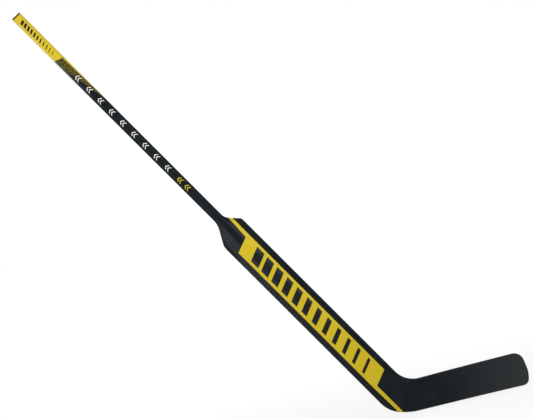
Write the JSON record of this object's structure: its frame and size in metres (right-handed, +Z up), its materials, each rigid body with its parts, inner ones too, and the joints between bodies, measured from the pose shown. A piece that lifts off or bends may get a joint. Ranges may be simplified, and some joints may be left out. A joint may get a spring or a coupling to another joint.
{
  "type": "hockey goalie stick",
  "caption": "Goaltender's hockey stick: chamfered hollow shaft with a butt cap, wide faceted paddle, big-radius heel and a forward-curved blade, for stopping pucks.",
  "frame": {"origin": "the point of the flat sole where the heel's curve runs out into it, in the paddle's middle plane", "axes": "+X along the sole from heel to toe, +Y from the front face to the back, +Z up from the ice; the shaft leans to -X"},
  "size_m": [1.1295, 0.0355, 1.309],
  "materials": {
    "cap_rubber": "matte moulded rubber",
    "black_laminate": "black composite laminate under a satin clear coat",
    "foam_core": "closed-cell structural foam",
    "dense_core": "dense moulded core",
    "yellow_film": "yellow film under a satin clear coat"
  },
  "bodies": {
    "root": {"butt_end_cap": "cap_rubber", "shaft_tube": "black_laminate", "front_laminate": "black_laminate", "back_laminate": "black_laminate", "heel_side_shoulder": "black_laminate", "toe_side_shoulder": "black_laminate", "heel_side_rail": "black_laminate", "toe_side_rail": "black_laminate", "heel_strip": "black_laminate", "crotch_strip": "black_laminate", "sole_strip": "black_laminate", "top_strip": "black_laminate", "toe_strip": "black_laminate", "heel_side_core": "foam_core", "toe_side_core": "foam_core", "blade_upper_core": "foam_core", "blade_lower_core": "foam_core", "paddle_spine": "dense_core", "heel_block": "dense_core", "blade_rib": "dense_core", "shaft_end_wrap": "yellow_film", "front_panel": "yellow_film", "back_panel": "yellow_film"}
  },
  "joints": []
}
